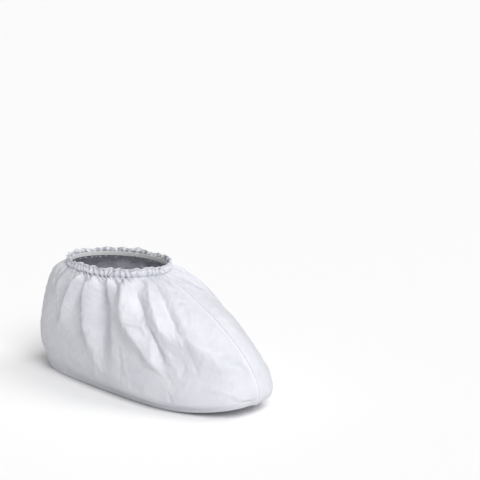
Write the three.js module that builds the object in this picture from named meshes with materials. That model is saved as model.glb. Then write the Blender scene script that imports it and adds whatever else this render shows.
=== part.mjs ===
// Microporous shoe cover, ankle high: two side panels of thin white cloth that meet in seams over the instep,
// up the heel and along the sole, gathered round the ankle by an elastic inside a frilled hem.
// Millimetres. +Z is up, +X points to the toe, the outer side faces -Y, and the sole rests on Z = 0.

import * as THREE from 'three';

const { degToRad, lerp, smoothstep } = THREE.MathUtils;

// Sole outline
const LENGTH = 324;
const HEEL_HALF_WIDTH = 58;
const BALL_HALF_WIDTH = 67;
const BALL_AT = 0.72;             // widest place, as a share of the length from the heel
const BALL_SPREAD = 0.26;         // how far the ball's extra width reaches, as a share of the length
const END_BLUNTNESS = 0.59;       // power of the rounding at heel and toe: 1 is an ellipse, less is blunter
const TOE_SPRING = 14;            // rise of the sole at the toe tip
const SPRING_START = 0.68;        // where the sole leaves the floor, as a share of the length from the heel
const CREASE_ROUNDING = 0.55;     // how soon the cloth turns in below the crease, as a share of its height
const TUCK_ROUNDING = 0.5;        // how late it then lies flat, as a share of the tuck
const SOLE_GATHER = 0.93;         // the columns draw this much closer along the middle of the sole
const FAN = 0.1;                  // how much the columns spread towards the toe and crowd at the heel

// Ankle opening at the elastic, an ellipse
const ANKLE_X = -55;
const ANKLE_HALF_LENGTH = 69;
const ANKLE_HALF_WIDTH = 45;
const ANKLE_HEIGHT = 131;
const ANKLE_TILT = 3;             // its toe end stands this much higher, and its heel end lower

// Cloth
const WALL = 1.2;
const GAP = 0.3;                  // between neighbouring pieces
const GATHER_DEPTH = 1.3;         // the fine pleats just below the elastic
const GATHER_FADE = 0.3;          // where they have run out, as a share of the way down to the crease
const SEAM_CALM = degToRad(9);    // no pleat or fold this near to a seam

// Hem, elastic and seam strips
const HEM_HEIGHT = 10;
const HEM_FLARE = 1.5;
const HEM_RUFFLE = 2;
const ELASTIC_WIDTH = 5;
const ELASTIC_THICKNESS = 1;
const ELASTIC_INSET = 0.6;        // from the foot of the hem's inner face in to the elastic
const ELASTIC_RAISE = 1;          // from the hem's foot up to the elastic
const SEAM_WIDTH = 6;
const SEAM_THICKNESS = 1;

// Mesh density
const SIDE_COLUMNS = 60;
const UPPER_ROWS = 12;
const TURNED_ROWS = 3;
const SOLE_ROWS = 2;
const HEM_ROWS = 2;
const ELASTIC_COLUMNS = 48;

// How the cloth falls from the elastic to the floor at the toe, the sides and the heel.
// crease: height at which it turns under; tuck: how far it then runs in under the foot;
// lead, shoulder: where it heads from the elastic, as shares of the way out and of the drop;
// plumb: share of the drop that hangs straight above the crease.
const FALL = {
  toe: { crease: 10, tuck: 10, lead: 0.5, shoulder: 0.2, plumb: 0.32 },
  side: { crease: 20, tuck: 12, lead: 0.87, shoulder: 0.03, plumb: 0.55 },
  heel: { crease: 33, tuck: 10, lead: 0.85, shoulder: 0, plumb: 0.43 },
};

// Main folds below the gathers. from, to: degrees round from the toe at the elastic and at the fold's foot;
// spread: half its width in degrees; depth: above the cloth, or below it for a valley;
// reach: where it ends, as a share of the way down to the crease.
const OUTER_FOLDS = [
  { from: 26, to: 21, spread: 7, depth: -2.5, reach: 0.75 },
  { from: 38, to: 34, spread: 7, depth: 3.5, reach: 0.65 },
  { from: 46, to: 41, spread: 7, depth: -4.5, reach: 0.8 },
  { from: 53, to: 46, spread: 8, depth: 4, reach: 0.85 },
  { from: 60, to: 62, spread: 5, depth: -3, reach: 0.4 },
  { from: 67, to: 70, spread: 6, depth: 3, reach: 0.5 },
  { from: 75, to: 79, spread: 7, depth: -5, reach: 0.88 },
  { from: 89, to: 87, spread: 9, depth: 4, reach: 0.92 },
  { from: 99, to: 107, spread: 7, depth: -3.5, reach: 0.65 },
  { from: 107, to: 116, spread: 7, depth: 3.5, reach: 0.75 },
  { from: 121, to: 127, spread: 8, depth: -2.5, reach: 0.6 },
  { from: 134, to: 138, spread: 9, depth: 2, reach: 0.7 },
  { from: 150, to: 152, spread: 9, depth: -2, reach: 0.55 },
];
const INNER_FOLDS = [
  { from: 30, to: 25, spread: 8, depth: -2.5, reach: 0.7 },
  { from: 42, to: 38, spread: 8, depth: 3.5, reach: 0.75 },
  { from: 52, to: 48, spread: 7, depth: -4, reach: 0.8 },
  { from: 64, to: 62, spread: 8, depth: 3.5, reach: 0.65 },
  { from: 78, to: 80, spread: 8, depth: -4.5, reach: 0.85 },
  { from: 92, to: 92, spread: 9, depth: 4, reach: 0.9 },
  { from: 104, to: 110, spread: 7, depth: -3.5, reach: 0.65 },
  { from: 116, to: 123, spread: 8, depth: 3, reach: 0.75 },
  { from: 131, to: 136, spread: 8, depth: -2.5, reach: 0.6 },
  { from: 148, to: 150, spread: 9, depth: 2, reach: 0.6 },
];
const FOLD_RISE = 0.2;            // share of a fold's reach over which it grows out of the gathers
const FOLD_DECAY = 0.55;          // share of its reach at which it starts to die out

// Plan of the sole

function soleHalfWidth(share) {
  const ball = Math.exp(-(((share - BALL_AT) / BALL_SPREAD) ** 2));
  const rounding = (2 * Math.sqrt(share * (1 - share))) ** END_BLUNTNESS;
  return rounding * lerp(HEEL_HALF_WIDTH, BALL_HALF_WIDTH, ball);
}

function makeHalfOutline() {
  const steps = 80;
  const points = [];
  for (let step = 0; step <= steps; step++) {
    const share = (1 + Math.cos((Math.PI * step) / steps)) / 2;
    points.push(new THREE.Vector2((share - 0.5) * LENGTH, -soleHalfWidth(share)));
  }
  const outline = new THREE.SplineCurve(points);
  outline.arcLengthDivisions = 800;
  return outline;
}

const halfOutline = makeHalfOutline();

// The columns fan out towards the toe, as the cloth does.
function outlinePoint(turn) {
  return halfOutline.getPointAt(turn / Math.PI + FAN * Math.sin(turn));
}

function springAt(x) {
  const share = Math.max(0, (x / LENGTH + 0.5 - SPRING_START) / (1 - SPRING_START));
  return TOE_SPRING * share ** 2;
}

function springSlopeAt(x) {
  const share = Math.max(0, (x / LENGTH + 0.5 - SPRING_START) / (1 - SPRING_START));
  return (2 * TOE_SPRING * share) / (LENGTH * (1 - SPRING_START));
}

// The smooth cloth, before pleats and folds. turn: radians round from the toe, through the outer side to the heel;
// down: 0 at the elastic, 1 at the crease, 2 at the sole's edge, 3 at the sole's middle.

function fallAt(turn) {
  const facing = Math.cos(turn);
  const end = facing > 0 ? FALL.toe : FALL.heel;
  const blended = (name) => lerp(FALL.side[name], end[name], facing ** 2);
  return Object.fromEntries(Object.keys(FALL.side).map((name) => [name, blended(name)]));
}

function anklePoint(turn) {
  return new THREE.Vector3(
    ANKLE_X + ANKLE_HALF_LENGTH * Math.cos(turn),
    -ANKLE_HALF_WIDTH * Math.sin(turn),
    ANKLE_HEIGHT + ANKLE_TILT * Math.cos(turn),
  );
}

function ankleNormal(turn) {
  const outward = new THREE.Vector3(ANKLE_HALF_WIDTH * Math.cos(turn), -ANKLE_HALF_LENGTH * Math.sin(turn), 0);
  return outward.normalize();
}

function mirrored(point) {
  return new THREE.Vector3(point.x, -point.y, point.z);
}

function clothPoint(turn, down) {
  if (turn < 0) return mirrored(clothPoint(-turn, down));
  if (turn > Math.PI) return mirrored(clothPoint(2 * Math.PI - turn, down));
  const fall = fallAt(turn);
  const plan = outlinePoint(turn);
  const crease = new THREE.Vector3(plan.x, plan.y, springAt(plan.x) + fall.crease);
  if (down <= 1) {
    const ankle = anklePoint(turn);
    const drop = ankle.z - crease.z;
    const heading = ankle.clone().lerp(crease, fall.lead).setZ(ankle.z - fall.shoulder * drop);
    const plumb = crease.clone().setZ(crease.z + fall.plumb * drop);
    return new THREE.CubicBezierCurve3(ankle, heading, plumb, crease).getPoint(down);
  }
  const edge = crease.clone();
  edge.x *= 1 - fall.tuck / (LENGTH / 2);
  edge.y *= 1 - fall.tuck / BALL_HALF_WIDTH;
  edge.z = springAt(edge.x);
  if (down <= 2) {
    const below = crease.clone().setZ(lerp(crease.z, edge.z, CREASE_ROUNDING));
    const under = edge.clone().lerp(crease, TUCK_ROUNDING);
    under.z = springAt(under.x);
    return new THREE.CubicBezierCurve3(crease, below, under, edge).getPoint(down - 1);
  }
  const sole = edge.clone().lerp(new THREE.Vector3(edge.x * SOLE_GATHER, 0, 0), down - 2);
  return sole.setZ(springAt(sole.x));
}

function clothNormal(turn, down) {
  if (down >= 2) {
    const slope = springSlopeAt(clothPoint(turn, down).x);
    return new THREE.Vector3(slope, 0, -1).normalize();
  }
  const step = 0.02;
  const across = clothPoint(turn + step, down).sub(clothPoint(turn - step, down));
  const along = clothPoint(turn, down + step).sub(clothPoint(turn, Math.max(0, down - step)));
  return across.cross(along).normalize();
}

// Pleats and folds

function seamCalm(turn) {
  return smoothstep(Math.min(turn, Math.PI - turn), 0, SEAM_CALM);
}

function gatherHeight(column, down) {
  const grown = smoothstep(down, 0, GATHER_FADE / 6);
  const faded = 1 - smoothstep(down, GATHER_FADE / 3, GATHER_FADE);
  const sign = column % 2 === 0 ? 1 : -1;
  return sign * GATHER_DEPTH * grown * faded;
}

function foldHeight(folds, turn, down) {
  let height = 0;
  for (const fold of folds) {
    const share = down / fold.reach;
    const centre = degToRad(lerp(fold.from, fold.to, Math.min(share, 1)));
    const across = Math.abs(turn - centre) / degToRad(fold.spread);
    if (share >= 1 || across >= 1) continue;
    const along = smoothstep(share, 0, FOLD_RISE) * (1 - smoothstep(share, FOLD_DECAY, 1));
    height += fold.depth * along * Math.cos((across * Math.PI) / 2) ** 2;
  }
  return height;
}

// Closed sheet between an outer and an inner grid, both listed as rows from the top and columns by rising turn.
function closedSheet(outer, inner, wraps) {
  const rows = outer.length;
  const columns = outer[0].length;
  const spans = wraps ? columns : columns - 1;
  const out = (row, column) => row * columns + (column % columns);
  const back = (row, column) => out(row, column) + rows * columns;
  const points = [...outer.flat(), ...inner.flat()];
  const index = [];
  const quad = (a, b, c, d) => {
    const leansBack = points[b].distanceTo(points[d]) < points[a].distanceTo(points[c]);
    index.push(...(leansBack ? [a, b, d, b, c, d] : [a, b, c, a, c, d]));
  };
  for (let row = 0; row < rows - 1; row++) {
    for (let column = 0; column < spans; column++) {
      const [r, c] = [row + 1, column + 1];
      quad(out(row, column), out(row, c), out(r, c), out(r, column));
      quad(back(row, column), back(r, column), back(r, c), back(row, c));
    }
  }
  for (let column = 0; column < spans; column++) {
    const [last, c] = [rows - 1, column + 1];
    quad(out(0, column), back(0, column), back(0, c), out(0, c));
    quad(out(last, column), out(last, c), back(last, c), back(last, column));
  }
  for (let row = 0; row < rows - 1 && !wraps; row++) {
    const [last, r] = [columns - 1, row + 1];
    quad(out(row, 0), out(r, 0), back(r, 0), back(row, 0));
    quad(out(row, last), back(row, last), back(r, last), out(r, last));
  }
  const geometry = new THREE.BufferGeometry().setFromPoints(points);
  geometry.setIndex(index);
  geometry.computeVertexNormals();
  return geometry;
}

function upperRows() {
  const crowding = 1.5;           // rows lie closer together near the gathers
  return Array.from({ length: UPPER_ROWS + 1 }, (_, row) => (row / UPPER_ROWS) ** crowding);
}

function panelRows() {
  const turned = Array.from({ length: TURNED_ROWS }, (_, row) => 1 + (row + 1) / TURNED_ROWS);
  const sole = Array.from({ length: SOLE_ROWS }, (_, row) => 2 + (row + 1) / SOLE_ROWS);
  return [...upperRows(), ...turned, ...sole];
}

// Side panel, from the elastic to the middle of the sole. The inner panel is worked out on the outer side and
// mirrored.
function panelGeometry(folds, isInner) {
  const layers = [0, WALL].map((depth) => panelRows().map((down) => {
    const row = [];
    for (let column = 0; column <= SIDE_COLUMNS; column++) {
      const turn = (Math.PI * column) / SIDE_COLUMNS;
      const height = (gatherHeight(column, down) + foldHeight(folds, turn, down)) * seamCalm(turn);
      const point = clothPoint(turn, down).addScaledVector(clothNormal(turn, down), height - depth);
      point.y -= GAP / 2;
      row.push(isInner ? mirrored(point) : point);
    }
    return isInner ? row.reverse() : row;
  }));
  return closedSheet(layers[0], layers[1], false);
}

// Flat seam strip on the panels' outside, along the middle of the instep or of the heel.
function seamGeometry(middleTurn) {
  const probe = 0.01;
  const layers = [GAP + SEAM_THICKNESS, GAP].map((height) => upperRows().slice(1).map((down) => {
    const sideways = Math.abs(clothPoint(middleTurn + probe, down).y) / probe;
    return [-1, 0, 1].map((side) => {
      const turn = middleTurn + (side * SEAM_WIDTH) / 2 / sideways;
      return clothPoint(turn, down).addScaledVector(clothNormal(turn, down), height);
    });
  }));
  return closedSheet(layers[0], layers[1], false);
}

// Band that follows the ankle ellipse. profile lists heights above the elastic line from the top down, each with
// the offsets of its outer and inner face, as functions of the column.
function ankleBand(columns, profile) {
  const layer = (face) => profile.map((level) => {
    return Array.from({ length: columns }, (_, column) => {
      const turn = (2 * Math.PI * column) / columns;
      const point = anklePoint(turn).addScaledVector(ankleNormal(turn), level[face](column));
      return point.setZ(point.z + level.height);
    });
  });
  return closedSheet(layer('outer'), layer('inner'), true);
}

function hemGeometry() {
  const profile = [];
  for (let row = HEM_ROWS; row >= 0; row--) {
    const share = row / HEM_ROWS;
    const ruffle = (column) => (column % 2 === 0 ? 1 : -1) * HEM_RUFFLE * share;
    const face = (column) => HEM_FLARE * share + ruffle(column);
    profile.push({ height: GAP + HEM_HEIGHT * share, outer: face, inner: (column) => face(column) - WALL });
  }
  return ankleBand(2 * SIDE_COLUMNS, profile);
}

function elasticGeometry() {
  const outer = () => -WALL - ELASTIC_INSET;
  const inner = () => -WALL - ELASTIC_INSET - ELASTIC_THICKNESS;
  const foot = GAP + ELASTIC_RAISE;
  return ankleBand(ELASTIC_COLUMNS, [
    { height: foot + ELASTIC_WIDTH, outer, inner },
    { height: foot, outer, inner },
  ]);
}

// Assembly

const cover = new THREE.Group();

function addPiece(name, geometry, color, roughness) {
  const piece = new THREE.Mesh(geometry, new THREE.MeshStandardMaterial({ color, roughness, metalness: 0 }));
  piece.name = name;
  cover.add(piece);
}

const CLOTH_WHITE = 0xe9ebf3;
const SEAM_WHITE = 0xf2f3f8;
const ELASTIC_WHITE = 0xf0efec;

addPiece('outer_panel', panelGeometry(OUTER_FOLDS, false), CLOTH_WHITE, 0.6);
addPiece('inner_panel', panelGeometry(INNER_FOLDS, true), CLOTH_WHITE, 0.6);
addPiece('instep_seam', seamGeometry(0), SEAM_WHITE, 0.55);
addPiece('heel_seam', seamGeometry(Math.PI), SEAM_WHITE, 0.55);
addPiece('ankle_hem', hemGeometry(), CLOTH_WHITE, 0.65);
addPiece('ankle_elastic', elasticGeometry(), ELASTIC_WHITE, 0.8);

export default cover;
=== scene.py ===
"""Looks of an ankle-high microporous shoe cover: crisp white cloth, gathered at the ankle by an elastic
in a frilled hem, with raised seams over the instep and up the heel.
Metres, +Z up, +X to the toe, the outer side faces -Y."""

import math

import bpy
import numpy as np
from mathutils import Matrix, Vector


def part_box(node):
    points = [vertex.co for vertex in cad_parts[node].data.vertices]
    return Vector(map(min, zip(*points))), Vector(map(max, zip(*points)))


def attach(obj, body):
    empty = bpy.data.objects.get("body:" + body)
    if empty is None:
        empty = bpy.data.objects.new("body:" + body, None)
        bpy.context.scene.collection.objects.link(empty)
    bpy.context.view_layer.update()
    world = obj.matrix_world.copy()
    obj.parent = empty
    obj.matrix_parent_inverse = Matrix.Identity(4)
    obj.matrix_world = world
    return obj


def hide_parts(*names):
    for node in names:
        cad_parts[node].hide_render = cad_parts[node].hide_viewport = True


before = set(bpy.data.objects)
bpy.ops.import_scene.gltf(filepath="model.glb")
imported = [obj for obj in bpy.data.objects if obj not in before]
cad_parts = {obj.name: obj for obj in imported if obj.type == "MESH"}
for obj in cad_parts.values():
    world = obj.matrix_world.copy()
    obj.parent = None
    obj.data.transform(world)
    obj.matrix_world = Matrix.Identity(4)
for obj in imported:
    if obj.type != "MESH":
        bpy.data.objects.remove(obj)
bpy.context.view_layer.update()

MM = 0.001
TINY = 1e-12

# Sizes that the frame gives
PANEL_LOW, PANEL_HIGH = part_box("outer_panel")
ELASTIC_LOW, ELASTIC_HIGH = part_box("ankle_elastic")
HEM_LOW, HEM_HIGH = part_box("ankle_hem")
LENGTH = PANEL_HIGH.x - PANEL_LOW.x
ELASTIC_INSET = 1.8 * MM
ELASTIC_WIDTH = 5 * MM
ANKLE_X = (ELASTIC_LOW.x + ELASTIC_HIGH.x) / 2
ANKLE_HALF_LENGTH = (ELASTIC_HIGH.x - ELASTIC_LOW.x) / 2 + ELASTIC_INSET
ANKLE_HALF_WIDTH = (ELASTIC_HIGH.y - ELASTIC_LOW.y) / 2 + ELASTIC_INSET
ANKLE_TILT = 3 * MM
ANKLE_HEIGHT = HEM_LOW.z + ANKLE_TILT
HEM_HEIGHT = HEM_HIGH.z - HEM_LOW.z - 2 * ANKLE_TILT

# Sole outline, as the panels are cut. FAN is the share of it by which the lines that run down the sides of
# the cloth land nearer the heel than they leave the elastic
HEEL_HALF_WIDTH = 58 * MM
BALL_HALF_WIDTH = 67 * MM
BALL_AT = 0.72
BALL_SPREAD = 0.26
END_BLUNTNESS = 0.59
TOE_SPRING = 14 * MM
SPRING_START = 0.68
CREASE_ROUNDING = 0.55
TUCK_ROUNDING = 0.5
SOLE_GATHER = 0.93
FAN = 0.1
OUTLINE_SAMPLES = 600
ANKLE_SAMPLES = 2000

# Fall of the cloth from the elastic to the floor, as shares where no length is meant: crease height,
# tuck under the foot, lead and shoulder where it leaves the elastic, plumb stretch above the crease
FALL = {
    "toe": {"crease": 10 * MM, "tuck": 10 * MM, "lead": 0.5, "shoulder": 0.2, "plumb": 0.32},
    "side": {"crease": 20 * MM, "tuck": 12 * MM, "lead": 0.87, "shoulder": 0.03, "plumb": 0.55},
    "heel": {"crease": 33 * MM, "tuck": 10 * MM, "lead": 0.85, "shoulder": 0.0, "plumb": 0.43},
}

# Folds: crests, and hollows between them. Where each begins and ends as shares of the drop to the crease,
# its degrees round from the toe at its start, middle and end, how many degrees it reaches towards the heel
# and the toe, and its height in mm (below the cloth for a hollow)
FOLD_COLUMNS = ("top", "foot", "start", "middle", "end", "heelward", "toeward", "height")
OUTER_FOLDS = (
    (0.02, 0.72, 10.0, 22.5, 19.0, 6, 10, 2.0),
    (0.00, 0.60, 18.0, 27.0, 25.0, 5, 4, -2.2),
    (0.48, 0.78, 26.5, 25.5, 23.5, 4, 3, -1.6),
    (0.46, 0.86, 28.0, 13.0, 2.0, 20, 9, 6.0),
    (0.00, 0.64, 26.0, 39.0, 34.0, 9, 10, 6.6),
    (0.56, 0.88, 40.0, 36.0, 31.0, 5, 6, 1.4),
    (0.68, 0.94, 43.0, 39.0, 33.0, 4, 4, -1.2),
    (0.04, 0.50, 45.0, 47.5, 46.5, 6, 5, -3.2),
    (0.44, 0.78, 47.0, 43.5, 39.0, 5, 3, -4.0),
    (0.00, 0.74, 49.0, 61.0, 57.0, 13, 13, 11.0),
    (0.52, 0.84, 60.0, 52.0, 40.0, 7, 10, 5.4),
    (0.00, 0.34, 57.0, 61.0, 64.0, 4, 4, -1.8),
    (0.00, 0.50, 66.0, 73.0, 68.0, 5, 8, 4.8),
    (0.30, 0.98, 72.5, 73.0, 72.0, 6, 9, 2.6),
    (0.00, 1.00, 76.0, 82.0, 80.0, 8, 10, -7.5),
    (0.02, 0.98, 82.0, 95.0, 83.0, 7, 11, 8.6),
    (0.00, 0.62, 94.0, 102.0, 110.0, 5, 5, -2.5),
    (0.02, 0.82, 96.0, 112.0, 119.0, 6, 9, 7.6),
    (0.02, 0.60, 116.0, 128.0, 134.0, 8, 8, 2.4),
    (0.02, 0.55, 135.0, 146.0, 150.0, 9, 9, 1.8),
    (0.02, 0.50, 152.0, 158.0, 160.0, 8, 8, 1.5),
    (0.86, 1.18, 17.0, 8.0, 1.0, 4, 5, 1.3),
    (0.90, 1.26, 16.0, 7.0, 0.0, 3, 4, -1.8),
)
INNER_FOLDS = (
    (0.02, 0.70, 12.0, 24.0, 21.0, 6, 10, 2.0),
    (0.00, 0.62, 22.0, 31.0, 28.0, 5, 4, -2.2),
    (0.00, 0.70, 30.0, 43.0, 38.0, 9, 9, 4.0),
    (0.02, 0.60, 45.0, 51.0, 50.0, 6, 5, -3.0),
    (0.00, 0.74, 54.0, 64.0, 60.0, 8, 10, 4.5),
    (0.46, 0.86, 64.0, 56.0, 47.0, 7, 8, 3.0),
    (0.00, 0.48, 68.0, 74.0, 72.0, 5, 8, 3.5),
    (0.00, 0.92, 78.0, 83.0, 81.0, 7, 4, -4.5),
    (0.02, 0.94, 88.0, 99.0, 92.0, 8, 12, 4.0),
    (0.04, 0.78, 102.0, 115.0, 121.0, 7, 9, 3.2),
    (0.02, 0.62, 122.0, 132.0, 138.0, 8, 8, 2.2),
    (0.02, 0.50, 142.0, 150.0, 153.0, 9, 9, 1.6),
)
FOLD_RISE = 0.3
FOLD_DECAY = 0.62
CREST_SHARPNESS = 1.8
CREST_ROUNDING = 0.15

# Fine gathers along the elastic: pleats round the ankle, their height, and where down the drop they are
# fullest and have run out. Beside a seam they are lower and the folds run out
GATHER_COLUMNS = ("pleats", "height", "full", "end")
GATHERS = (
    (54, 1.7 * MM, 0.0, 0.16),
    (31, 1.8 * MM, 0.07, 0.34),
)
GATHER_UNEVENNESS = 0.6
GATHER_SIZES = (0.3, 1.7)
SEAM_CALM = math.radians(6)
SEAM_GATHER = 0.35
PLEAT_SIZE = 1.6
PLEAT_VALLEY = 0.01
PLEAT_MIDDLE = 0.64
PLEAT_DRIFT = 4

# Soft edge low on the sides, below which the cloth turns in under the foot: its place down the drop, how far
# it rises to the heel and wanders, the degrees from the toe between which it rises, begins and runs out, and
# the places between which the turned-in cloth comes out again
EDGE_PLACE = 0.95
EDGE_HEEL_RISE = 0.14
EDGE_WANDER = 0.02
EDGE_RISING = (70, 125)
EDGE_BEGINNING = (8, 30)
EDGE_RUNNING_OUT = (140, 175)
EDGE_UNTUCKING = (1.5, 1.95)
EDGE_HEIGHT = 4 * MM
EDGE_TUCK = 4 * MM
EDGE_APPROACH = 0.3
EDGE_FALL = 0.5
EDGE_SHARPNESS = 1.4
EDGE_ROUNDING = 0.25

# Small wrinkles all over, clear of the instep seam: how many, the drops where they lie, how they slant from
# the way down, the place below which there are none, and the metres of cloth in a radian round the foot and
# in the drop to the crease
WRINKLES = 260
WRINKLE_SEAM_ROOM = 0.2
WRINKLE_DROPS = (0.1, 1.0)
WRINKLE_SLANT = 0.6
WRINKLE_END = 1.2
METRES_PER_RADIAN = 0.12
METRES_PER_DROP = 0.13
WRINKLE_LENGTH = (7 * MM, 24 * MM)
WRINKLE_WIDTH = (1.8 * MM, 4.5 * MM)
WRINKLE_HEIGHT = 0.6 * MM

# Density of the cloth, whose upper rows crowd towards the elastic
COLUMNS = 480
HEM_ROWS = 16
UPPER_ROWS = 84
UPPER_ROW_CROWDING = 1.4
TURNED_ROWS = 14
SOLE_ROWS = 8
CLOTH_THICKNESS = 0.5 * MM

# View of the photograph: direction, distance, size and place in the picture
VIEW_AZIMUTH = math.radians(42.8)
VIEW_ELEVATION = math.radians(14.3)
VIEW_DISTANCE = 2.665
PICTURE_PIXELS = 480
PIXELS_PER_METRE = 875.7
ORIGIN_PIXEL = (153.9, 385.8)
SENSOR_MM = 36


# Plan of the sole and the smooth cloth

def sole_half_width(share):
    ball = np.exp(-(((share - BALL_AT) / BALL_SPREAD) ** 2))
    rounding = (2 * np.sqrt(np.clip(share * (1 - share), 0, None))) ** END_BLUNTNESS
    return rounding * (HEEL_HALF_WIDTH + (BALL_HALF_WIDTH - HEEL_HALF_WIDTH) * ball)


def walked_along(points):
    """Distance walked from the first point to each of them."""
    return np.concatenate([[0], np.cumsum(np.linalg.norm(np.diff(points, axis=0), axis=1))])


def walked_shares(points):
    walked = walked_along(points)
    return walked / walked[-1]


def points_between(places, walked, points):
    """Points at places along a line whose own points lie at the walked distances."""
    return np.stack([np.interp(places, walked, points[:, axis]) for axis in range(3)], -1)


def unit(vectors):
    return vectors / (np.linalg.norm(vectors, axis=-1, keepdims=True) + TINY)


def make_half_outline():
    """Points from the toe tip round the outer side to the heel, and the share of the way at each."""
    share = (1 + np.cos(np.linspace(0, np.pi, OUTLINE_SAMPLES))) / 2
    points = np.stack([(share - 0.5) * LENGTH, -sole_half_width(share)], -1)
    return points, walked_shares(points)


OUTLINE_POINTS, OUTLINE_SHARES = make_half_outline()


def outline_point(turn):
    """Sole outline for an array of turns from 0 to 2 pi, mirrored past the heel."""
    half_turn = side_turn(turn)
    share = half_turn / np.pi + FAN * np.sin(half_turn)
    x = np.interp(share, OUTLINE_SHARES, OUTLINE_POINTS[:, 0])
    y = np.interp(share, OUTLINE_SHARES, OUTLINE_POINTS[:, 1])
    return x, np.where(turn > np.pi, -y, y)


def side_turn(turn):
    """Turn from the toe on either side, from 0 to pi."""
    return np.where(turn > np.pi, 2 * np.pi - turn, turn)


def spring_at(x):
    share = np.clip((x / LENGTH + 0.5 - SPRING_START) / (1 - SPRING_START), 0, None)
    return TOE_SPRING * share ** 2


def fall_at(name, turn):
    facing = np.cos(turn)
    end = np.where(facing > 0, FALL["toe"][name], FALL["heel"][name])
    return FALL["side"][name] + (end - FALL["side"][name]) * facing ** 2


def bezier(points, t):
    """Point at t on the cubic through four arrays of control points."""
    a, b, c, d = points
    return (1 - t) ** 3 * a + 3 * (1 - t) ** 2 * t * b + 3 * (1 - t) * t ** 2 * c + t ** 3 * d


def ankle_point(turn):
    return np.stack([ANKLE_X + ANKLE_HALF_LENGTH * np.cos(turn), -ANKLE_HALF_WIDTH * np.sin(turn),
                     ANKLE_HEIGHT + ANKLE_TILT * np.cos(turn)], -1)


def ankle_normal(turn):
    outward = np.stack([ANKLE_HALF_WIDTH * np.cos(turn), -ANKLE_HALF_LENGTH * np.sin(turn), 0 * turn], -1)
    return outward / np.linalg.norm(outward, axis=-1, keepdims=True)


def smooth_row(turn, down):
    """The smooth cloth along one row: down is 0 at the elastic, 1 at the crease, 2 at the sole's edge and
    3 at its middle."""
    x, y = outline_point(turn)
    crease = np.stack([x, y, spring_at(x) + fall_at("crease", turn)], -1)
    if down <= 1:
        ankle = ankle_point(turn)
        drop = ankle[:, 2] - crease[:, 2]
        heading = ankle + (crease - ankle) * fall_at("lead", turn)[:, None]
        heading[:, 2] = ankle[:, 2] - fall_at("shoulder", turn) * drop
        plumb = crease.copy()
        plumb[:, 2] += fall_at("plumb", turn) * drop
        return bezier((ankle, heading, plumb, crease), down)
    tuck = fall_at("tuck", turn)
    edge_x = x * (1 - tuck / (LENGTH / 2))
    edge = np.stack([edge_x, y * (1 - tuck / BALL_HALF_WIDTH), spring_at(edge_x)], -1)
    if down <= 2:
        below = crease.copy()
        below[:, 2] += (edge[:, 2] - crease[:, 2]) * CREASE_ROUNDING
        under = edge + (crease - edge) * TUCK_ROUNDING
        under[:, 2] = spring_at(under[:, 0])
        return bezier((crease, below, under, edge), down - 1)
    sole_x = edge_x * (1 + (SOLE_GATHER - 1) * (down - 2))
    return np.stack([sole_x, edge[:, 1] * (3 - down), spring_at(sole_x)], -1)


# Hem: a casing over the elastic, sewn along its foot and again below the frill

CASING_SHARE = 0.7
CASING_SWELL = 1.1 * MM
CASING_PUCKER = 1.3 * MM
FINE_PUCKER = 0.6 * MM
FINE_PUCKERS_PER_PLEAT = 1.7
FRILL_FLARE = 1.2 * MM
FRILL_WAVE = 1.3 * MM
FRILL_WAVES_PER_PLEAT = 0.5
GATHER_IN_CASING = 0.8
HEM_UNEVENNESS = 0.8
HEM_SIZES = (0.25, 2.0)
HEM_LEAN = 4
FINE_PUCKER_DRIFT = 5
FINE_PUCKER_LEAN = 8
FRILL_DRIFT = 2
HEM_WANDER = 0.7 * MM
HEM_WANDER_REACH = 0.12


def hem_parts(share):
    """How much of the casing's swell and of the frill's flare there is at a share of the hem's height."""
    casing = np.sin(np.pi * min(share / CASING_SHARE, 1))
    frill = max(share - CASING_SHARE, 0) / (1 - CASING_SHARE)
    return casing, frill


def hem_row(turn, share):
    """The smooth hem at a share of its height."""
    casing, frill = hem_parts(share)
    point = ankle_point(turn) + ankle_normal(turn) * (CASING_SWELL * casing + FRILL_FLARE * frill)
    point[:, 2] += HEM_HEIGHT * share
    return point


def row_places():
    """Places of the rows, from -1 at the frill's edge to 3 in the middle of the sole."""
    upper = (np.arange(UPPER_ROWS) / UPPER_ROWS) ** UPPER_ROW_CROWDING
    turned = 1 + np.arange(TURNED_ROWS) / TURNED_ROWS
    sole = 2 + np.arange(SOLE_ROWS + 1) / SOLE_ROWS
    return np.concatenate([-np.arange(HEM_ROWS, 0, -1) / HEM_ROWS, upper, turned, sole])


# Pleats, folds and wrinkles

def ease(value, low, high):
    t = np.clip((value - low) / (high - low), 0, 1)
    return t * t * (3 - 2 * t)


def fold_height(folds, turn, down):
    height = np.zeros_like(turn)
    for row in folds:
        fold = dict(zip(FOLD_COLUMNS, row))
        share = (down - fold["top"]) / (fold["foot"] - fold["top"])
        if not 0 < share < 1:
            continue
        bow = fold["middle"] - (fold["start"] + fold["end"]) / 2
        line = fold["start"] + (fold["end"] - fold["start"]) * share + 4 * bow * share * (1 - share)
        aside = np.degrees(turn) - line
        across = np.where(aside > 0, aside / fold["heelward"], -aside / fold["toeward"])
        across = np.hypot(across, CREST_ROUNDING) - CREST_ROUNDING
        along = ease(share, 0, FOLD_RISE) * (1 - ease(share, FOLD_DECAY, 1))
        height += fold["height"] * MM * along * np.clip(1 - across, 0, 1) ** CREST_SHARPNESS
    return height


def pleat(phase):
    """Round ridges and narrow valleys, from about -1 to 0.6."""
    return PLEAT_SIZE * (np.sqrt(np.cos(phase / 2) ** 2 + PLEAT_VALLEY) - PLEAT_MIDDLE)


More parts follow.
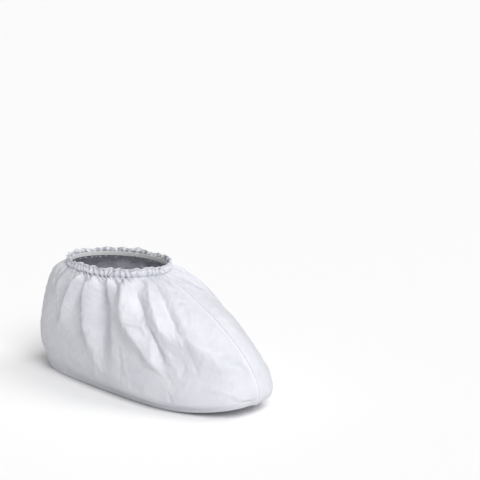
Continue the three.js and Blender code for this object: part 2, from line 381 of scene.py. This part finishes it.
class Unevenness:
    """A slow wave round the ankle that makes pleats uneven, about -1 to 1."""

    def __init__(self, rng, waves):
        self.waves = [(n, rng.uniform(0.5, 1), rng.uniform(0, 2 * np.pi)) for n in waves]

    def at(self, turn):
        return sum(size * np.sin(n * turn + start) for n, size, start in self.waves) / len(self.waves) ** 0.5


def gather_size(wave, turn):
    return np.clip(1 + GATHER_UNEVENNESS * wave.at(turn), *GATHER_SIZES)


def gather_height(turn, share_round, down, drift, swell):
    """Fine gathers: share_round is the way round the elastic, drift shifts pleats and swell sizes them."""
    height = np.zeros_like(turn)
    for row, shift, size in zip(GATHERS, drift, swell):
        gather = dict(zip(GATHER_COLUMNS, row))
        rise = ease(down, 0, gather["full"]) if gather["full"] > 0 else 1.0
        along = rise * (1 - ease(down, gather["full"], gather["end"]))
        phase = 2 * np.pi * gather["pleats"] * share_round + PLEAT_DRIFT * shift.at(turn)
        height += gather["height"] * along * gather_size(size, turn) * pleat(phase)
    return height


def edge_fold_height(turn, down, unevenness):
    """A crest low on the sides, and the cloth that turns in below it."""
    degrees = np.degrees(side_turn(turn))
    line = EDGE_PLACE - EDGE_HEEL_RISE * ease(degrees, *EDGE_RISING) + EDGE_WANDER * unevenness.at(turn)
    shows = ease(degrees, *EDGE_BEGINNING) * (1 - ease(degrees, *EDGE_RUNNING_OUT))
    away = np.where(down < line, (line - down) / EDGE_APPROACH, (down - line) / EDGE_FALL)
    away = np.hypot(away, EDGE_ROUNDING) - EDGE_ROUNDING
    crest = EDGE_HEIGHT * np.clip(1 - away, 0, 1) ** EDGE_SHARPNESS
    turned_in = EDGE_TUCK * ease(down, line, line + EDGE_FALL) * (1 - ease(down, *EDGE_UNTUCKING))
    return shows * (crest - turned_in)


def wrinkle_heights(rng, turn, places):
    """Small creases at random places, most of them running down the cloth."""
    height = np.zeros((len(places), len(turn)))
    for _ in range(WRINKLES):
        middle = rng.uniform(WRINKLE_SEAM_ROOM, 2 * np.pi - WRINKLE_SEAM_ROOM)
        aside = (turn[None, :] - middle) * METRES_PER_RADIAN
        down = (places[:, None] - rng.uniform(*WRINKLE_DROPS)) * METRES_PER_DROP
        slant = rng.normal(0, WRINKLE_SLANT)
        length = rng.uniform(*WRINKLE_LENGTH)
        width = rng.uniform(*WRINKLE_WIDTH)
        along = (down * math.cos(slant) + aside * math.sin(slant)) / length
        across = (aside * math.cos(slant) - down * math.sin(slant)) / width
        size = rng.normal(0, 1) * WRINKLE_HEIGHT
        height += size * np.clip(1 - along ** 2, 0, None) ** 2 * np.exp(-across ** 2)
    return height * (places < WRINKLE_END)[:, None]


def hem_height(turn, share_round, share, drift, swell):
    """Puckers of the casing and waves of the frill, at a share of the hem's height."""
    gather = dict(zip(GATHER_COLUMNS, GATHERS[0]))
    lean = HEM_LEAN * drift[1].at(turn) * share
    phase = 2 * np.pi * gather["pleats"] * share_round + PLEAT_DRIFT * drift[0].at(turn) + lean
    size = np.clip(1 + HEM_UNEVENNESS * swell[1].at(turn), *HEM_SIZES)
    foot = gather["height"] * gather_size(swell[0], turn)
    casing, frill = hem_parts(share)
    body = foot * (1 - frill) * GATHER_IN_CASING + CASING_PUCKER * casing * size
    fine_phase = FINE_PUCKERS_PER_PLEAT * phase + FINE_PUCKER_DRIFT * drift[1].at(turn)
    fine = FINE_PUCKER * casing * size * np.sin(fine_phase + FINE_PUCKER_LEAN * share)
    frill_phase = phase * FRILL_WAVES_PER_PLEAT + FRILL_DRIFT * drift[1].at(turn)
    waves = FRILL_WAVE * frill * size * np.sin(frill_phase)
    return body * pleat(phase) + fine + waves


def cloth_normals(smooth, turn, places):
    """Outward directions of the smooth cloth: straight down under the sole, level round the hem."""
    across = np.roll(smooth, -1, 1) - np.roll(smooth, 1, 1)
    normal = np.cross(across, np.gradient(smooth, axis=0))
    normal[places >= 2] = (0, 0, -1)
    normal[places < 0] = ankle_normal(turn)
    return unit(normal)


# Waves round the ankle that shift and size the pleats, and that the soft edge and the hem wander by
RANDOM_SEED = 7
DRIFT_WAVES = (2, 3, 5, 8, 13)
SWELL_WAVES = (4, 7, 11, 17)
EDGE_WAVES = (3, 5, 9)
HEM_WAVES = (5, 9, 16, 23, 37)


def cloth_grid():
    """The gathered and folded cloth as a grid of rows and columns, the smooth cloth below it and the places
    of its rows."""
    rng = np.random.default_rng(RANDOM_SEED)
    drift = [Unevenness(rng, DRIFT_WAVES) for _ in GATHERS]
    swell = [Unevenness(rng, SWELL_WAVES) for _ in GATHERS]
    edge_wander = Unevenness(rng, EDGE_WAVES)
    hem_wander = Unevenness(rng, HEM_WAVES)
    turn = np.arange(COLUMNS) / COLUMNS * 2 * np.pi
    places = row_places()
    full_turn = np.linspace(0, 2 * np.pi, ANKLE_SAMPLES)
    share_round = np.interp(turn, full_turn, walked_shares(ankle_point(full_turn)))
    smooth = np.stack([smooth_row(turn, d) if d >= 0 else hem_row(turn, -d) for d in places])
    calm = ease(np.minimum(side_turn(turn), np.pi - side_turn(turn)), 0, SEAM_CALM)
    height = wrinkle_heights(rng, turn, places) * calm
    for row, down in enumerate(places):
        if down < 0:
            height[row] = hem_height(turn, share_round, -down, drift, swell)
            continue
        folds = np.where(turn <= np.pi, fold_height(OUTER_FOLDS, side_turn(turn), down),
                         fold_height(INNER_FOLDS, side_turn(turn), down))
        height[row] += folds * calm
        gathers = gather_height(turn, share_round, down, drift, swell)
        height[row] += gathers * (SEAM_GATHER + (1 - SEAM_GATHER) * calm)
        height[row] += edge_fold_height(turn, down, edge_wander)
    shape = smooth + cloth_normals(smooth, turn, places) * height[..., None]
    lift = HEM_WANDER * hem_wander.at(turn)
    for row, down in enumerate(places):
        shape[row, :, 2] += lift * ease(down, HEM_WANDER_REACH, 0) * (1 + max(-down, 0))
    return shape, smooth, places


# Mesh helpers

CLOTH_UV = "cloth"


def grid_mesh(name, points, wraps, uv_lines=None):
    """A mesh object from a grid of points. uv_lines gives the metres round the cloth and down it."""
    rows, columns, _ = points.shape
    spans = columns if wraps else columns - 1
    row, column = np.meshgrid(np.arange(rows - 1), np.arange(spans), indexing="ij")
    right = (column + 1) % columns
    faces = np.stack([row * columns + column, row * columns + right,
                      (row + 1) * columns + right, (row + 1) * columns + column], -1)
    piece = mesh_object(name, points, faces.reshape(-1, 4).tolist())
    if uv_lines is not None:
        across, down = uv_lines
        corners = ((row, column), (row, column + 1), (row + 1, column + 1), (row + 1, column))
        coords = np.stack([np.stack([across[c], down[r]], -1) for r, c in corners], -2)
        piece.data.uv_layers.new(name=CLOTH_UV).data.foreach_set("uv", coords.astype(np.float32).ravel())
    return piece


def mesh_object(name, points, faces):
    mesh = bpy.data.meshes.new(name)
    mesh.from_pydata(points.reshape(-1, 3).tolist(), [], faces)
    mesh.update()
    piece = bpy.data.objects.new(name, mesh)
    bpy.context.scene.collection.objects.link(piece)
    return piece


def select_only(piece):
    bpy.ops.object.select_all(action="DESELECT")
    piece.select_set(True)
    bpy.context.view_layer.objects.active = piece


def apply_modifiers(piece):
    select_only(piece)
    for modifier in list(piece.modifiers):
        bpy.ops.object.modifier_apply(modifier=modifier.name)


def add_wall(piece, thickness):
    """Add a sheet's thickness on its inside, so that its outer face stays where it is."""
    wall = piece.modifiers.new("wall", "SOLIDIFY")
    wall.thickness = thickness
    wall.offset = -1


def finish_mesh(piece):
    apply_modifiers(piece)
    piece.data.shade_smooth()


def thicken(piece, thickness):
    add_wall(piece, thickness)
    finish_mesh(piece)


def dress(piece, slot, node=None):
    """Give a piece the finish of a slot, and let it ride and stand for its node."""
    piece.data.materials.clear()
    piece.data.materials.append(FINISHES[slot])
    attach(piece, "root")
    if node:
        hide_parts(node)


def vertex_group(piece, name, weights):
    group = piece.vertex_groups.new(name=name)
    for weight in np.unique(weights):
        if weight > 0:
            group.add(np.flatnonzero(weights == weight).tolist(), float(weight), "REPLACE")


# Settling the cloth: it is worked on at a larger size, where the solver is steady. Each hold is how firmly a
# part of it keeps its place

SETTLE_SCALE = 20
SETTLE_FRAMES = 20
SETTLE_QUALITY = 6
SPARE_CLOTH = 0.015
BODY_HOLD = 0.2
HEM_HOLD = 0.5
TURNED_HOLD = 0.4
FULLY_HELD_FROM = 1.5
SEAM_HOLD = 0.7
SEAM_REACH = 3
TENSION = 15
BENDING = 0.04
PUFF = 0.3
AIR_DAMPING = 2
CLOTH_MASS = 0.01


def hold_weights(places):
    """How firmly each point keeps its place: fully at the elastic and under the sole, lightly between."""
    hold = np.full((len(places), COLUMNS), BODY_HOLD)
    hold[places < 0] = HEM_HOLD
    hold[places == 0] = 1.0
    hold[places >= 1] = TURNED_HOLD
    hold[places >= FULLY_HELD_FROM] = 1.0
    half = COLUMNS // 2
    from_seam = np.minimum(np.arange(COLUMNS) % half, -np.arange(COLUMNS) % half)
    return np.where(from_seam <= SEAM_REACH, np.maximum(hold, SEAM_HOLD), hold)


def settle(points, places):
    """Let a little air into the folded cloth, so that it rounds out between its creases."""
    cloth = grid_mesh("settling_cloth", points * SETTLE_SCALE, True)
    vertex_group(cloth, "held", hold_weights(places).ravel())
    modifier = cloth.modifiers.new("settle", "CLOTH")
    settings = modifier.settings
    settings.quality = SETTLE_QUALITY
    settings.mass = CLOTH_MASS
    settings.tension_stiffness = TENSION
    settings.compression_stiffness = TENSION
    settings.shear_stiffness = TENSION / 2
    settings.bending_stiffness = BENDING
    settings.air_damping = AIR_DAMPING
    settings.shrink_min = -SPARE_CLOTH
    settings.vertex_group_mass = "held"
    settings.pin_stiffness = 1.0
    settings.use_pressure = True
    settings.uniform_pressure_force = PUFF
    settings.effector_weights.gravity = 0
    modifier.collision_settings.use_collision = False
    modifier.collision_settings.use_self_collision = False
    modifier.point_cache.frame_start = 1
    modifier.point_cache.frame_end = SETTLE_FRAMES
    scene = bpy.context.scene
    scene.frame_start = 1
    scene.frame_end = SETTLE_FRAMES
    for step in range(1, SETTLE_FRAMES + 1):
        scene.frame_set(step)
    apply_modifiers(cloth)
    settled = np.zeros(points.size, dtype=np.float32)
    cloth.data.vertices.foreach_get("co", settled)
    bpy.data.objects.remove(cloth)
    scene.frame_set(1)
    return settled.reshape(points.shape).astype(float) / SETTLE_SCALE


# Seams: the edges of both panels are turned to one side of each join, so that one half of the seam stands
# higher. Its groove and shoulders are shares of its half width. It is laid on the columns of cloth beside it

SEAM_WIDTH = 6.4 * MM
SEAM_LIFT = 1.5 * MM
SEAM_LOW = 0.6 * MM
SEAM_FOOT = 0.12 * MM
SEAM_THICKNESS = 0.45 * MM
SEAM_FIRST_PLACE = 0.0
SEAM_LAST_PLACE = 1.8
SEAM_POINTS = 41
SEAM_COLUMNS = 12
SEAM_GROOVE = 0.14
SEAM_SHOULDER = 0.45
STITCH_INSET = 1.1 * MM
STITCH_LENGTH = 2.4 * MM
STITCH_PITCH = 3.4 * MM
HEM_STITCH_LENGTH = 1.5 * MM
HEM_STITCH_PITCH = 2.2 * MM
HEM_STITCH_SHARES = (0.06, CASING_SHARE)
THREAD_RADIUS = 0.18 * MM


def seam_band(cloth, places, column):
    """Points of a band along one column of the settled cloth, in rows down the seam."""
    nearby = np.arange(column - SEAM_COLUMNS, column + SEAM_COLUMNS + 1) % COLUMNS
    offsets = np.linspace(-0.5, 0.5, SEAM_POINTS) * SEAM_WIDTH
    band = []
    for points in cloth[(places >= SEAM_FIRST_PLACE) & (places <= SEAM_LAST_PLACE)][:, nearby]:
        distance = walked_along(points)
        band.append(points_between(offsets, distance - distance[SEAM_COLUMNS], points))
    band = np.stack(band)
    normal = unit(np.cross(np.gradient(band, axis=1), np.gradient(band, axis=0)))
    share = offsets / (SEAM_WIDTH / 2)
    lift = np.where(share < 0, SEAM_LIFT, SEAM_LOW) * ease(np.abs(share), 0, SEAM_GROOVE)
    lift *= 1 - ease(np.abs(share), SEAM_SHOULDER, 1)
    return band + normal * (SEAM_FOOT + lift)[None, :, None], normal


def line_at(band, offset):
    """The line along a band at an offset from its middle."""
    across = (offset / SEAM_WIDTH + 0.5) * (SEAM_POINTS - 1)
    low = int(across)
    return band[:, low] + (band[:, low + 1] - band[:, low]) * (across - low)


def stitch_line(path, normal, pitch, length):
    """Start, end and outward direction of stitches laid along a path."""
    walked = walked_along(path)
    starts = np.arange(pitch / 2, walked[-1] - pitch, pitch)
    outward = points_between(starts + length / 2, walked, normal)
    return points_between(starts, walked, path), points_between(starts + length, walked, path), unit(outward)


def joined(rows):
    """Rows of stitches as one."""
    return [np.concatenate(parts) for parts in zip(*rows)]


def hem_stitches(cloth, places):
    """Short stitches round the hem along the foot of its casing and below its frill."""
    rows = []
    for share in HEM_STITCH_SHARES:
        row = int(np.argmin(np.abs(places + share)))
        ring = np.concatenate([cloth[row], cloth[row, :1]])
        across = np.gradient(ring, axis=0)
        outward = unit(np.stack([-across[:, 1], across[:, 0], 0 * across[:, 0]], -1))
        line = ring + outward * THREAD_RADIUS
        rows.append(stitch_line(line, outward, HEM_STITCH_PITCH, HEM_STITCH_LENGTH))
    return joined(rows)


def make_stitches(name, starts, ends, outward):
    """One mesh of thread stitches, each a copy of one round-ended stitch."""
    bpy.ops.object.select_all(action="DESELECT")
    bpy.ops.mesh.primitive_uv_sphere_add(segments=6, ring_count=5, radius=1)
    pattern = bpy.context.active_object
    shape = np.array([vertex.co[:] for vertex in pattern.data.vertices])
    faces = [list(face.vertices) for face in pattern.data.polygons]
    bpy.data.objects.remove(pattern)
    half = (ends - starts) / 2
    length = np.linalg.norm(half, axis=-1, keepdims=True)
    side = unit(np.cross(outward, half)) * THREAD_RADIUS
    rise = unit(np.cross(half, side)) * THREAD_RADIUS
    reach = half * (1 + THREAD_RADIUS / length)
    points = ((starts + ends) / 2)[:, None] + (shape[None, :, 2:3] * reach[:, None]
                                               + shape[None, :, 0:1] * side[:, None]
                                               + shape[None, :, 1:2] * rise[:, None])
    copies = [[index + copy * len(shape) for index in face]
              for copy in range(len(starts)) for face in faces]
    piece = mesh_object(name, points, copies)
    piece.data.shade_smooth()
    return piece


# Elastic: a flat ribbed ring inside the hem, sewn on with a zigzag

ELASTIC_SIDES = 192
ELASTIC_RIBS = 5
ELASTIC_THICKNESS = 0.8 * MM
RIB_DEPTH = 0.12 * MM
ZIGZAGS = 72
ZIGZAG_REACH = 0.32


def make_elastic():
    bpy.ops.object.select_all(action="DESELECT")
    half_length = (ELASTIC_HIGH.x - ELASTIC_LOW.x) / 2
    half_width = (ELASTIC_HIGH.y - ELASTIC_LOW.y) / 2
    middle = (ELASTIC_LOW + ELASTIC_HIGH) / 2
    bpy.ops.mesh.primitive_cylinder_add(vertices=ELASTIC_SIDES, radius=1, depth=ELASTIC_WIDTH,
                                        end_fill_type="NOTHING", location=middle,
                                        scale=(half_length, half_width, 1))
    ring = bpy.context.active_object
    ring.name = "ankle_elastic_band"
    bpy.ops.object.transform_apply(location=False, rotation=False, scale=True)
    select_where(ring.data.edges, lambda edge: abs(edge_rise(ring.data, edge)) > ELASTIC_WIDTH / 2)
    bpy.ops.object.mode_set(mode="EDIT")
    bpy.ops.mesh.subdivide(number_cuts=2 * ELASTIC_RIBS - 1)
    bpy.ops.object.mode_set(mode="OBJECT")
    step = ELASTIC_WIDTH / (2 * ELASTIC_RIBS)
    shrink = 1 - RIB_DEPTH / half_width
    for groove in range(0, 2 * ELASTIC_RIBS + 1, 2):
        height = groove * step - ELASTIC_WIDTH / 2
        select_where(ring.data.vertices, lambda vertex: abs(vertex.co.z - height) < step / 4)
        bpy.ops.object.mode_set(mode="EDIT")
        bpy.ops.transform.resize(value=(shrink, shrink, 1))
        bpy.ops.object.mode_set(mode="OBJECT")
    tilt = Matrix.Identity(4)
    tilt[2][0] = ANKLE_TILT / ANKLE_HALF_LENGTH
    ring.data.transform(tilt)
    bpy.ops.object.transform_apply(location=True, rotation=True, scale=True)
    add_wall(ring, ELASTIC_THICKNESS)
    rounding = ring.modifiers.new("rounding", "SUBSURF")
    rounding.levels = 1
    rounding.render_levels = 1
    finish_mesh(ring)
    return ring


def edge_rise(mesh, edge):
    low, high = edge.vertices
    return mesh.vertices[high].co.z - mesh.vertices[low].co.z


def select_where(parts, test):
    """Select the vertices or edges of the active mesh that pass a test, and nothing else."""
    mesh = bpy.context.active_object.data
    bpy.context.tool_settings.mesh_select_mode = (parts == mesh.vertices, parts == mesh.edges, False)
    for kind in (mesh.vertices, mesh.edges, mesh.polygons):
        kind.foreach_set("select", [False] * len(kind))
    for part in parts:
        part.select = bool(test(part))


def zigzag_stitches():
    """Stitches that cross the inner face of the elastic up and down."""
    turn = np.arange(2 * ZIGZAGS + 1) / (2 * ZIGZAGS) * 2 * np.pi
    inward = ELASTIC_INSET + ELASTIC_THICKNESS
    path = ankle_point(turn) - ankle_normal(turn) * inward
    path[:, 2] += (ELASTIC_LOW.z + ELASTIC_HIGH.z) / 2 - ANKLE_HEIGHT
    path[:, 2] += np.where(np.arange(len(turn)) % 2 == 0, 1, -1) * ELASTIC_WIDTH * ZIGZAG_REACH
    outward = -ankle_normal((turn[:-1] + turn[1:]) / 2)
    return path[:-1], path[1:], outward


# Materials: the middle of a texture's range, which is spread over a finish, and the finishes' own values

VALUE_RANGE = (0.3, 0.7)
COLOUR_RANGE = (0.32, 0.68)
CLOTH_DARK = (0.64, 0.648, 0.70)
CLOTH_LIGHT = (0.71, 0.716, 0.765)
CLOTH_ROUGHNESS = (0.42, 0.58)
CLOTH_CRINKLE = 1.0
TAPE_DARK = (0.69, 0.697, 0.742)
TAPE_LIGHT = (0.75, 0.757, 0.80)
TAPE_CRINKLE = 0.4
# The elastic's darker colour is painted shade for the hollows between its threads
ELASTIC_HOLLOW_SHADE = (0.66, 0.66, 0.65)
ELASTIC_LIGHT = (0.82, 0.82, 0.80)
ELASTIC_ROUGHNESS = (0.65, 0.85)


def node_material(name):
    material = bpy.data.materials.new(name)
    material.use_nodes = True
    return material, material.node_tree.nodes, material.node_tree.links


def uv_coordinates(nodes, uv_name):
    uv = nodes.new("ShaderNodeUVMap")
    uv.uv_map = uv_name
    return uv.outputs["UV"]


def noise_texture(nodes, links, coords, scale, detail, roughness=0.5, distortion=0.0):
    texture = nodes.new("ShaderNodeTexNoise")
    texture.inputs["Scale"].default_value = scale
    texture.inputs["Detail"].default_value = detail
    texture.inputs["Roughness"].default_value = roughness
    texture.inputs["Distortion"].default_value = distortion
    links.new(coords, texture.inputs["Vector"])
    return texture.outputs["Fac"]


def cell_texture(nodes, links, coords, scale, randomness, feature="F1"):
    texture = nodes.new("ShaderNodeTexVoronoi")
    texture.feature = feature
    texture.inputs["Scale"].default_value = scale
    texture.inputs["Randomness"].default_value = randomness
    links.new(coords, texture.inputs["Vector"])
    return texture.outputs["Distance"]


def between(nodes, links, share, low, high):
    spread = nodes.new("ShaderNodeMapRange")
    spread.inputs["From Min"].default_value = VALUE_RANGE[0]
    spread.inputs["From Max"].default_value = VALUE_RANGE[1]
    spread.inputs["To Min"].default_value = low
    spread.inputs["To Max"].default_value = high
    links.new(share, spread.inputs["Value"])
    return spread.outputs["Result"]


def colour_between(nodes, links, share, low, high):
    ramp = nodes.new("ShaderNodeValToRGB")
    for stop, position, colour in zip(ramp.color_ramp.elements, COLOUR_RANGE, (low, high)):
        stop.position = position
        stop.color = (*colour, 1)
    links.new(share, ramp.inputs["Fac"])
    return ramp.outputs["Color"]


def add_bump(nodes, links, height, strength, distance, below=None):
    bump = nodes.new("ShaderNodeBump")
    bump.inputs["Strength"].default_value = strength
    bump.inputs["Distance"].default_value = distance
    links.new(height, bump.inputs["Height"])
    if below is not None:
        links.new(below, bump.inputs["Normal"])
    return bump.outputs["Normal"]


def make_cloth_material(name, dark, light, crinkle):
    """Crisp film-faced cloth: faint clouding, uneven gloss, a fine emboss and paper-like crinkles."""
    material, nodes, links = node_material(name)
    shader = nodes["Principled BSDF"]
    coords = uv_coordinates(nodes, CLOTH_UV)
    clouds = noise_texture(nodes, links, coords, scale=38, detail=4, roughness=0.6)
    links.new(colour_between(nodes, links, clouds, dark, light), shader.inputs["Base Color"])
    gloss = noise_texture(nodes, links, coords, scale=120, detail=3)
    links.new(between(nodes, links, gloss, *CLOTH_ROUGHNESS), shader.inputs["Roughness"])
    creases = cell_texture(nodes, links, coords, scale=70, randomness=1.0, feature="DISTANCE_TO_EDGE")
    rumple = noise_texture(nodes, links, coords, scale=90, detail=5, roughness=0.62, distortion=0.6)
    emboss = cell_texture(nodes, links, coords, scale=720, randomness=0.3)
    normal = add_bump(nodes, links, creases, strength=0.16 * crinkle, distance=3 * MM)
    normal = add_bump(nodes, links, rumple, strength=0.34 * crinkle, distance=1.2 * MM, below=normal)
    normal = add_bump(nodes, links, emboss, strength=0.2, distance=0.3 * MM, below=normal)
    links.new(normal, shader.inputs["Normal"])
    shader.inputs["Specular IOR Level"].default_value = 0.4
    shader.inputs["Sheen Weight"].default_value = 0.08
    return material


def make_elastic_material():
    """Knitted elastic: warm white, with cross threads over its ribs, and painted shade that darkens the
    hollows between the threads.
    """
    material, nodes, links = node_material("knitted_elastic")
    shader = nodes["Principled BSDF"]
    coords = uv_coordinates(nodes, "UVMap")
    threads = nodes.new("ShaderNodeTexWave")
    threads.bands_direction = "X"
    threads.inputs["Scale"].default_value = 110
    threads.inputs["Distortion"].default_value = 0.6
    links.new(coords, threads.inputs["Vector"])
    relief_and_shade = threads.outputs["Fac"]
    # Colour follows the threads' relief: painted shade in the hollows, the threads' own warm white on top
    links.new(colour_between(nodes, links, relief_and_shade, ELASTIC_HOLLOW_SHADE, ELASTIC_LIGHT), shader.inputs["Base Color"])
    fuzz = noise_texture(nodes, links, coords, scale=300, detail=3)
    links.new(between(nodes, links, fuzz, *ELASTIC_ROUGHNESS), shader.inputs["Roughness"])
    links.new(add_bump(nodes, links, relief_and_shade, strength=0.5, distance=0.2 * MM), shader.inputs["Normal"])
    shader.inputs["Sheen Weight"].default_value = 0.2
    return material


# Stage

def make_camera():
    back = Vector((math.sin(VIEW_AZIMUTH) * math.cos(VIEW_ELEVATION),
                   -math.cos(VIEW_AZIMUTH) * math.cos(VIEW_ELEVATION), math.sin(VIEW_ELEVATION)))
    right = Vector((math.cos(VIEW_AZIMUTH), math.sin(VIEW_AZIMUTH), 0))
    up = back.cross(right)
    middle = PICTURE_PIXELS / 2
    aside = (ORIGIN_PIXEL[0] - middle) / PIXELS_PER_METRE
    below = (ORIGIN_PIXEL[1] - middle) / PIXELS_PER_METRE
    camera = bpy.data.objects.new("camera", bpy.data.cameras.new("camera"))
    bpy.context.scene.collection.objects.link(camera)
    camera.data.sensor_width = SENSOR_MM
    camera.data.lens = PIXELS_PER_METRE * VIEW_DISTANCE / PICTURE_PIXELS * SENSOR_MM
    place = back * VIEW_DISTANCE - right * aside + up * below
    camera.matrix_world = Matrix.Translation(place) @ Matrix((right, up, back)).transposed().to_4x4()
    bpy.context.scene.camera = camera


FLOOR_SIZE = 8
FLOOR_WHITE = (0.95, 0.95, 0.95)
FLOOR_ROUGHNESS = 0.8


def make_floor():
    bpy.ops.mesh.primitive_plane_add(size=FLOOR_SIZE)
    floor = bpy.context.active_object
    floor.name = "floor"
    material, nodes, _ = node_material("floor_white")
    shader = nodes["Principled BSDF"]
    shader.inputs["Base Color"].default_value = (*FLOOR_WHITE, 1)
    shader.inputs["Roughness"].default_value = FLOOR_ROUGHNESS
    floor.data.materials.append(material)


LIGHT_COLUMNS = ("name", "right_of_camera", "elevation", "energy")
LIGHTS = (
    ("front_light", 18, 45, 2.25),
    ("side_light", 85, 55, 0.9),
    ("back_light", 165, 60, 0.25),
)
LIGHT_SPREAD = math.radians(34)
SKY_STRENGTH = 0.24


def make_lights():
    world = bpy.data.worlds.new("studio")
    bpy.context.scene.world = world
    world.use_nodes = True
    world.node_tree.nodes["Background"].inputs["Color"].default_value = (1, 1, 1, 1)
    world.node_tree.nodes["Background"].inputs["Strength"].default_value = SKY_STRENGTH
    for row in LIGHTS:
        light = dict(zip(LIGHT_COLUMNS, row))
        sun = bpy.data.objects.new(light["name"], bpy.data.lights.new(light["name"], "SUN"))
        bpy.context.scene.collection.objects.link(sun)
        sun.data.energy = light["energy"]
        sun.data.angle = LIGHT_SPREAD
        sun.rotation_euler = (math.radians(90 - light["elevation"]), 0,
                              VIEW_AZIMUTH + math.radians(light["right_of_camera"]))
    bpy.context.scene.view_settings.view_transform = "Standard"


make_camera()
make_floor()
make_lights()

FINISHES = {
    "microporous_cloth": make_cloth_material("cover_cloth", CLOTH_DARK, CLOTH_LIGHT, CLOTH_CRINKLE),
    "seam_cloth": make_cloth_material("seam_tape", TAPE_DARK, TAPE_LIGHT, TAPE_CRINKLE),
    "elastic": make_elastic_material(),
}

# The whole cloth, and the metres along its columns and rows that its finish follows
folded_shape, smooth_shape, row_drops = cloth_grid()
cloth_shape = settle(folded_shape, row_drops)
elastic_row = HEM_ROWS
crease_row = elastic_row + UPPER_ROWS
heel_column = COLUMNS // 2
row_steps = np.linalg.norm(np.diff(smooth_shape, axis=0), axis=-1).mean(1)
metres_down = np.concatenate([[0], np.cumsum(row_steps)])
column_step = np.linalg.norm(np.diff(smooth_shape[crease_row], axis=0), axis=-1).mean()
metres_round = np.arange(COLUMNS + 1) * column_step

# Panels and hem
closed_shape = np.concatenate([cloth_shape, cloth_shape[:, :1]], 1)
outer_panel = grid_mesh("outer_panel_cloth", closed_shape[elastic_row:, :heel_column + 1], False,
                        (metres_round, metres_down[elastic_row:]))
inner_panel = grid_mesh("inner_panel_cloth", closed_shape[elastic_row:, heel_column:], False,
                        (metres_round[heel_column:], metres_down[elastic_row:]))
hem = grid_mesh("ankle_hem_cloth", cloth_shape[:elastic_row + 1], True, (metres_round, metres_down))
for piece, node in ((outer_panel, "outer_panel"), (inner_panel, "inner_panel"), (hem, "ankle_hem")):
    thicken(piece, CLOTH_THICKNESS)
    dress(piece, "microporous_cloth", node)

# Seams, each a tape with a row of stitches along both edges
seam_pieces = []
for name, column in (("instep_seam", 0), ("heel_seam", heel_column)):
    band, outward = seam_band(cloth_shape, row_drops, column)
    lines = [line_at(band, side * (SEAM_WIDTH / 2 - STITCH_INSET)) for side in (-1, 1)]
    rows = [stitch_line(line, outward[:, SEAM_POINTS // 2], STITCH_PITCH, STITCH_LENGTH) for line in lines]
    stitches = make_stitches(name + "_stitches", *joined(rows))
    dress(stitches, "seam_cloth")
    tape_lines = (np.linspace(0, SEAM_WIDTH, SEAM_POINTS), np.arange(len(band)) * column_step)
    tape = grid_mesh(name + "_tape", band, False, tape_lines)
    thicken(tape, SEAM_THICKNESS)
    dress(tape, "seam_cloth", name)
    seam_pieces += [tape, stitches]

# Elastic and the stitches of the ankle
elastic = make_elastic()
dress(elastic, "elastic", "ankle_elastic")
zigzag = make_stitches("ankle_elastic_stitches", *zigzag_stitches())
dress(zigzag, "seam_cloth")
hem_thread = make_stitches("ankle_hem_stitches", *hem_stitches(cloth_shape, row_drops))
dress(hem_thread, "seam_cloth")
